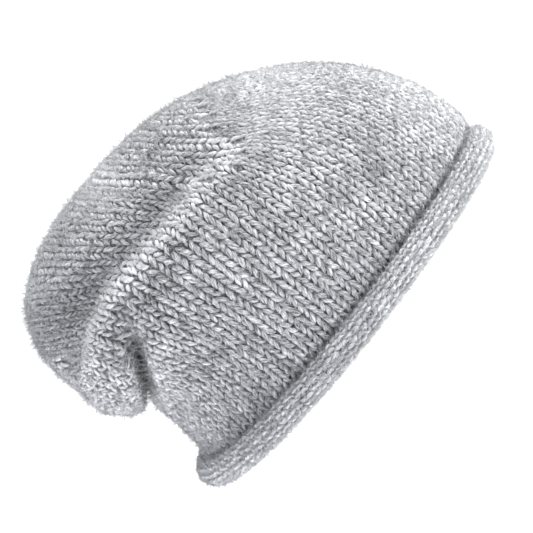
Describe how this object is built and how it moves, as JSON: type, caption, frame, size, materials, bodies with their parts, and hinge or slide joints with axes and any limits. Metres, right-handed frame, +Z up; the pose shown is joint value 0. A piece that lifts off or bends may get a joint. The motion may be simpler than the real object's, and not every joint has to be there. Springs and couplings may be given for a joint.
{
  "type": "slouchy beanie",
  "caption": "Slouchy knitted beanie with a rolled brim, a creased upper crown and a loose slouch that folds over itself at the nape.",
  "frame": {"origin": "on the surface the hat stands on, under the middle of its box", "axes": "+X towards the forehead, +Y towards the wearer's left ear, +Z up towards the top"},
  "size_m": [0.2248, 0.1816, 0.1415],
  "materials": {
    "crown_knit": "soft heather grey stockinette knit, right side out, brushed and fuzzy",
    "brim_knit": "soft heather grey stockinette knit, purl side out, brushed and fuzzy"
  },
  "bodies": {
    "root": {"crown": "crown_knit", "rolled_brim": "brim_knit"}
  },
  "joints": []
}
